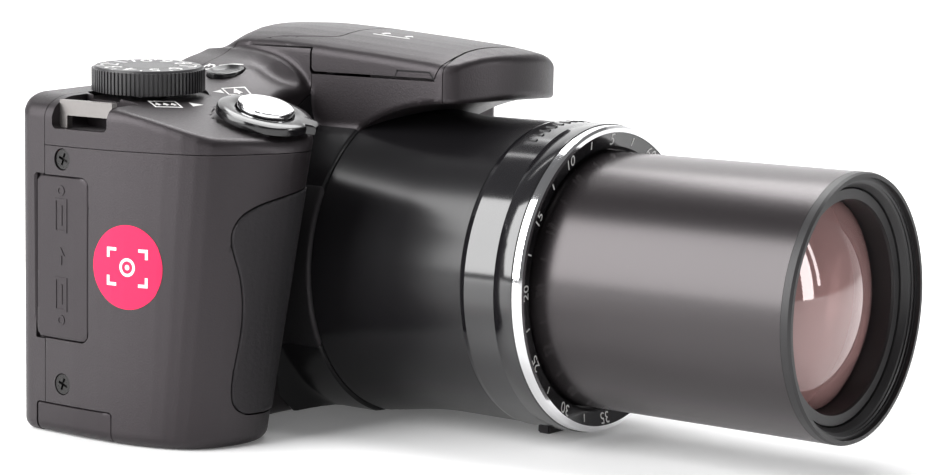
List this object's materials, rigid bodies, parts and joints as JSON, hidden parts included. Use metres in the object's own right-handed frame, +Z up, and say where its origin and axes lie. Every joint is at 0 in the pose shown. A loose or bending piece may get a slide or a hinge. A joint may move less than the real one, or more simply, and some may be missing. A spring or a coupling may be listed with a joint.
{
  "type": "bridge camera",
  "caption": "Compact superzoom camera with a deep hand grip, a telescoping zoom barrel, a pop-up flash in a hump over the lens, and top and rear controls.",
  "frame": {"origin": "mouth of the tripod socket on the base plane, directly below the lens axis", "axes": "+Z up; the lens looks along -Y; the hand grip is at -X; the screen faces +Y"},
  "size_m": [0.104, 0.129, 0.0695],
  "materials": {
    "body_plastic": "fine-grained satin moulding",
    "grip_rubber": "soft matt rubber",
    "gloss_black": "polished black",
    "tube_black": "satin black paint",
    "bright_metal": "bright plated",
    "dark_metal": "satin dark plating",
    "steel": "plain",
    "lens_glass": "coated glass",
    "clear_window": "clear moulding",
    "screen_glass": "glossy dark screen",
    "circuit_board": "green board",
    "key_plastic": "smooth satin key",
    "cell_grey": "plain",
    "print_white": "printed mark",
    "sticker_pink": "glossy paper label"
  },
  "bodies": {
    "root": {"front_cover": "body_plastic", "rear_cover": "body_plastic", "top_cover": "body_plastic", "base_cover": "body_plastic", "nose_cover": "body_plastic", "grip_rubber": "grip_rubber", "thumb_rest": "grip_rubber", "gloss_ring": "gloss_black", "chrome_ring": "bright_metal", "front_ring": "gloss_black", "barrel_foot": "grip_rubber", "guide_barrel": "tube_black", "chassis": "steel", "main_board": "circuit_board", "sensor_board": "circuit_board", "image_sensor": "circuit_board", "lcd_panel": "screen_glass", "lcd_window": "screen_glass", "battery": "cell_grey", "battery_holder": "body_plastic", "memory_card": "cell_grey", "card_slot": "steel", "tripod_socket": "steel", "flash_capacitor": "cell_grey", "zoom_motor": "tube_black", "terminal_ports": "steel", "strap_lugs": "dark_metal", "side_screws": "steel", "base_screws": "steel", "focus_lamp": "clear_window", "flash_hinge_pin": "steel", "battery_door_pin": "steel"},
    "zoom_tube": {"zoom_tube": "tube_black", "front_rim": "tube_black", "retaining_ring": "tube_black", "front_lens": "lens_glass"},
    "cam_barrel": {"cam_barrel": "tube_black"},
    "motor_pinion": {"motor_pinion": "steel"},
    "zoom_lens_group": {"zoom_lens_group": "tube_black"},
    "focus_group": {"focus_group": "tube_black"},
    "flash": {"flash_lid": "body_plastic", "flash_housing": "body_plastic", "flash_window": "clear_window", "flash_tube": "clear_window"},
    "mode_dial": {"mode_dial": "body_plastic"},
    "zoom_lever": {"zoom_lever": "dark_metal"},
    "shutter_button": {"shutter_button": "bright_metal"},
    "power_button": {"power_button": "key_plastic"},
    "movie_button": {"movie_button": "key_plastic"},
    "playback_button": {"playback_button": "key_plastic"},
    "focus_frame_button": {"focus_frame_button": "key_plastic"},
    "menu_button": {"menu_button": "key_plastic"},
    "display_button": {"display_button": "key_plastic"},
    "control_pad": {"control_pad": "key_plastic"},
    "set_button": {"set_button": "key_plastic"},
    "battery_door": {"battery_door": "body_plastic"},
    "terminal_cover": {"terminal_cover": "body_plastic"},
    "coupler_flap": {"coupler_flap": "grip_rubber"},
    "seek_button": {"seek_button": "key_plastic"},
    "lock_button": {"lock_button": "key_plastic"}
  },
  "joints": [
    {"name": "zoom_extend", "type": "slide", "parent": "root", "child": "zoom_tube", "axis": [0, 1, 0], "range_m": [0, 0.047]},
    {"name": "cam_turn", "type": "hinge", "parent": "root", "child": "cam_barrel", "pos_m": [0, 0, 0.0277], "axis": [0, -1, 0], "range_deg": [-1, 151]},
    {"name": "pinion_turn", "type": "hinge", "parent": "root", "child": "motor_pinion", "pos_m": [-0.01945, 0, 0.04714], "axis": [0, -1, 0], "range_deg": [-1230, 8]},
    {"name": "zoom_group_shift", "type": "slide", "parent": "root", "child": "zoom_lens_group", "axis": [0, 1, 0], "range_m": [-0.0001, 0.0402]},
    {"name": "focus_shift", "type": "slide", "parent": "root", "child": "focus_group", "axis": [0, -1, 0], "range_m": [-0.0035, 0.0025]},
    {"name": "flash_popup", "type": "hinge", "parent": "root", "child": "flash", "pos_m": [0, 0.0039, 0.0677], "axis": [-1, 0, 0], "range_deg": [0, 42]},
    {"name": "mode_dial_turn", "type": "hinge", "parent": "root", "child": "mode_dial", "pos_m": [-0.045, 0.0004, 0.05815], "axis": [-0.0523, -0.0409, 0.9978], "continuous": true},
    {"name": "zoom_lever_turn", "type": "hinge", "parent": "root", "child": "zoom_lever", "pos_m": [-0.0405, -0.0221, 0.0542], "axis": [-0.0667, -0.2917, 0.9542], "range_deg": [-22, 22], "stiffness_Nm_per_rad": 0.01},
    {"name": "shutter_press", "type": "slide", "parent": "root", "child": "shutter_button", "axis": [0.0667, 0.2917, -0.9542], "range_m": [0, 0.001], "stiffness_N_per_m": 300},
    {"name": "power_press", "type": "slide", "parent": "root", "child": "power_button", "axis": [0.2247, 0.051, -0.9731], "range_m": [0, 0.0004], "stiffness_N_per_m": 300},
    {"name": "movie_press", "type": "slide", "parent": "root", "child": "movie_button", "axis": [0, -1, 0], "range_m": [0, 0.0005], "stiffness_N_per_m": 300},
    {"name": "playback_press", "type": "slide", "parent": "root", "child": "playback_button", "axis": [0, -1, 0], "range_m": [0, 0.0005], "stiffness_N_per_m": 300},
    {"name": "focus_frame_press", "type": "slide", "parent": "root", "child": "focus_frame_button", "axis": [0, -1, 0], "range_m": [0, 0.0005], "stiffness_N_per_m": 300},
    {"name": "menu_press", "type": "slide", "parent": "root", "child": "menu_button", "axis": [0, -1, 0], "range_m": [0, 0.0005], "stiffness_N_per_m": 300},
    {"name": "display_press", "type": "slide", "parent": "root", "child": "display_button", "axis": [0, -1, 0], "range_m": [0, 0.0005], "stiffness_N_per_m": 300},
    {"name": "pad_rock", "type": "hinge", "parent": "root", "child": "control_pad", "pos_m": [-0.0465, 0.0125, 0.0235], "axis": [1, 0, 0], "range_deg": [-2.5, 2.5], "stiffness_Nm_per_rad": 0.02},
    {"name": "set_press", "type": "slide", "parent": "root", "child": "set_button", "axis": [0, -1, 0], "range_m": [0, 0.0004], "stiffness_N_per_m": 300},
    {"name": "battery_door_swing", "type": "hinge", "parent": "root", "child": "battery_door", "pos_m": [-0.0564, 0, 0.001], "axis": [0, 1, 0], "range_deg": [0, 95]},
    {"name": "terminal_cover_swing", "type": "hinge", "parent": "root", "child": "terminal_cover", "pos_m": [-0.0626, 0.0086, 0.03], "axis": [0, 0, -1], "range_deg": [0, 110]},
    {"name": "coupler_flap_swing", "type": "hinge", "parent": "root", "child": "coupler_flap", "pos_m": [-0.0622, 0, 0.0007], "axis": [0, -1, 0], "range_deg": [0, 85]},
    {"name": "seek_press", "type": "slide", "parent": "root", "child": "seek_button", "axis": [-1, 0, 0], "range_m": [0, 0.0004], "stiffness_N_per_m": 300},
    {"name": "lock_press", "type": "slide", "parent": "root", "child": "lock_button", "axis": [-1, 0, 0], "range_m": [0, 0.0004], "stiffness_N_per_m": 300}
  ],
  "couplings": [
    {"joint": "cam_turn", "follows": "zoom_extend", "rad_per_m": 55.702},
    {"joint": "pinion_turn", "follows": "zoom_extend", "rad_per_m": -454.9},
    {"joint": "zoom_group_shift", "follows": "zoom_extend", "ratio": 0.85}
  ]
}
